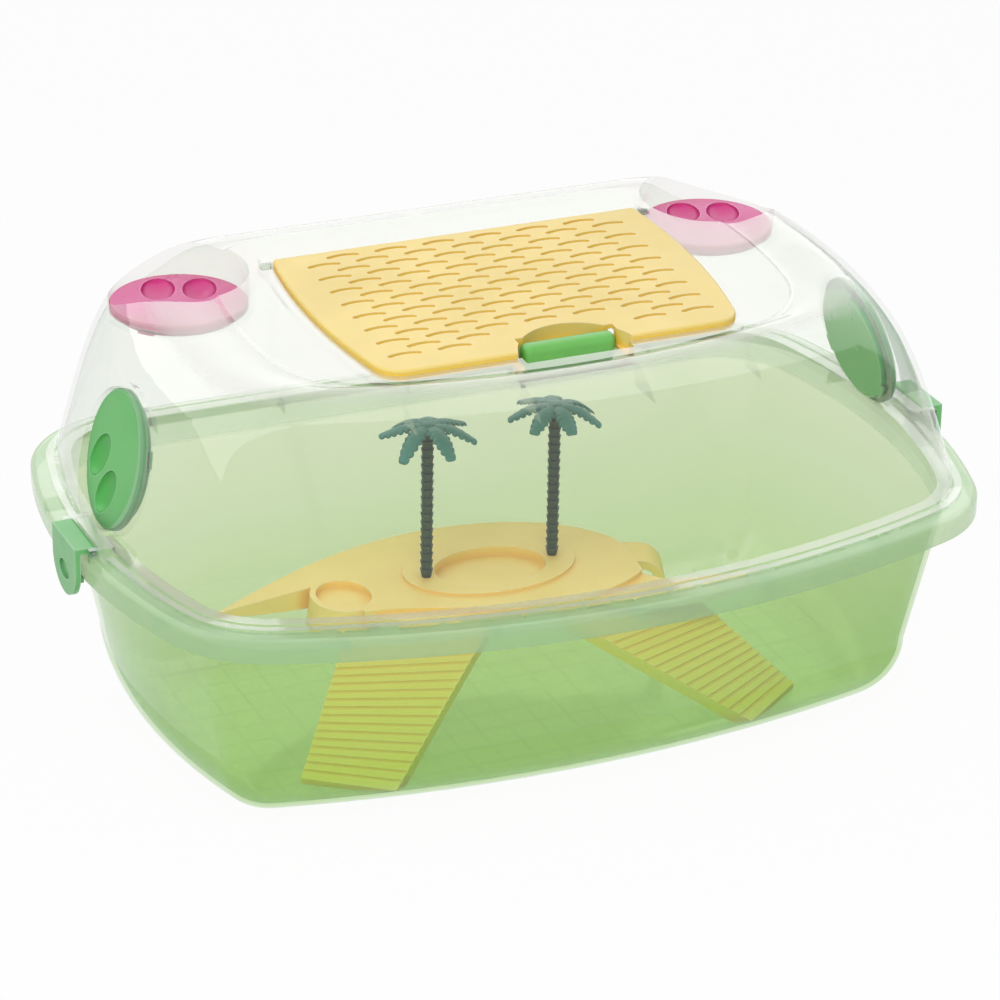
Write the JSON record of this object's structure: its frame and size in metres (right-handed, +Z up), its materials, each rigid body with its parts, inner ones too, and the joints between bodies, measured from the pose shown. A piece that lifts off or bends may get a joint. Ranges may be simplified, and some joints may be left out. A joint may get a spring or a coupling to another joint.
{
  "type": "turtle tank",
  "caption": "Small plastic turtle tank: translucent green tub, clear dome cover with vented yellow roof door and round port plugs, end clips, island with ramps and palms",
  "frame": {"origin": "bottom centre of the bounding box, on the surface it stands on", "axes": "+X to the right end, +Y to the straight back wall, +Z up"},
  "size_m": [0.4084, 0.268, 0.1964],
  "materials": {
    "tub_green": "translucent moulded plastic",
    "cover_clear": "clear moulded plastic",
    "door_yellow": "moulded, soft gloss",
    "pin_clear": "clear moulded plastic",
    "latch_green": "moulded, soft gloss",
    "plug_pink": "moulded, soft gloss",
    "plug_green": "moulded, soft gloss",
    "clip_green": "moulded, soft gloss",
    "island_yellow": "moulded, fine texture",
    "trunk_green": "moulded rings",
    "frond_teal": "thin moulded leaves"
  },
  "bodies": {
    "tub": {"tub": "tub_green"},
    "cover": {"cover": "cover_clear", "door_hinge_pin_left": "pin_clear", "door_hinge_pin_right": "pin_clear", "door_latch_pin": "pin_clear", "clip_pin_left": "pin_clear", "clip_pin_right": "pin_clear"},
    "door": {"roof_door": "door_yellow"},
    "latch": {"door_latch": "latch_green"},
    "roof_plug_left": {"roof_plug_left": "plug_pink"},
    "roof_plug_right": {"roof_plug_right": "plug_pink"},
    "end_plug_left": {"end_plug_left": "plug_green"},
    "end_plug_right": {"end_plug_right": "plug_green"},
    "clip_left": {"clip_left": "clip_green"},
    "clip_right": {"clip_right": "clip_green"},
    "island": {"island_deck": "island_yellow", "ramp_left": "island_yellow", "ramp_right": "island_yellow", "rear_leg": "island_yellow"},
    "palm_left": {"palm_trunk_left": "trunk_green", "palm_crown_left": "frond_teal"},
    "palm_right": {"palm_trunk_right": "trunk_green", "palm_crown_right": "frond_teal"}
  },
  "joints": [
    {"name": "cover_lift", "type": "slide", "parent": "tub", "child": "cover", "axis": [0, 0, 1], "range_m": [0, 0.12]},
    {"name": "door_hinge", "type": "hinge", "parent": "cover", "child": "door", "pos_m": [0, 0.06899, 0.19276], "axis": [-1, 0, 0], "range_deg": [0, 110]},
    {"name": "latch_turn", "type": "hinge", "parent": "cover", "child": "latch", "pos_m": [0.004, -0.04143, 0.17747], "axis": [1, 0, 0], "range_deg": [0, 45]},
    {"name": "roof_plug_left_turn", "type": "hinge", "parent": "cover", "child": "roof_plug_left", "pos_m": [-0.1263, 0.0779, 0.1796], "axis": [0, 0, 1], "range_deg": [0, 35]},
    {"name": "roof_plug_right_turn", "type": "hinge", "parent": "cover", "child": "roof_plug_right", "pos_m": [0.1263, 0.0779, 0.1796], "axis": [0, 0, 1], "range_deg": [0, 35]},
    {"name": "end_plug_left_turn", "type": "hinge", "parent": "cover", "child": "end_plug_left", "pos_m": [-0.1774, 0.0175, 0.1383], "axis": [-0.9699, 0, 0.2436], "range_deg": [0, 35]},
    {"name": "end_plug_right_turn", "type": "hinge", "parent": "cover", "child": "end_plug_right", "pos_m": [0.1774, 0.0175, 0.1383], "axis": [0.9699, 0, 0.2436], "range_deg": [0, 35]},
    {"name": "clip_left_swing", "type": "hinge", "parent": "cover", "child": "clip_left", "pos_m": [-0.1964, 0.005, 0.1106], "axis": [0, 1, 0], "range_deg": [0, 100]},
    {"name": "clip_right_swing", "type": "hinge", "parent": "cover", "child": "clip_right", "pos_m": [0.1964, 0.005, 0.1106], "axis": [0, -1, 0], "range_deg": [0, 100]},
    {"name": "island_lift", "type": "slide", "parent": "tub", "child": "island", "axis": [0, 0, 1], "range_m": [0, 0.03]},
    {"name": "palm_left_pull", "type": "slide", "parent": "island", "child": "palm_left", "axis": [0, 0, 1], "range_m": [0, 0.012]},
    {"name": "palm_right_pull", "type": "slide", "parent": "island", "child": "palm_right", "axis": [0, 0, 1], "range_m": [0, 0.012]}
  ]
}
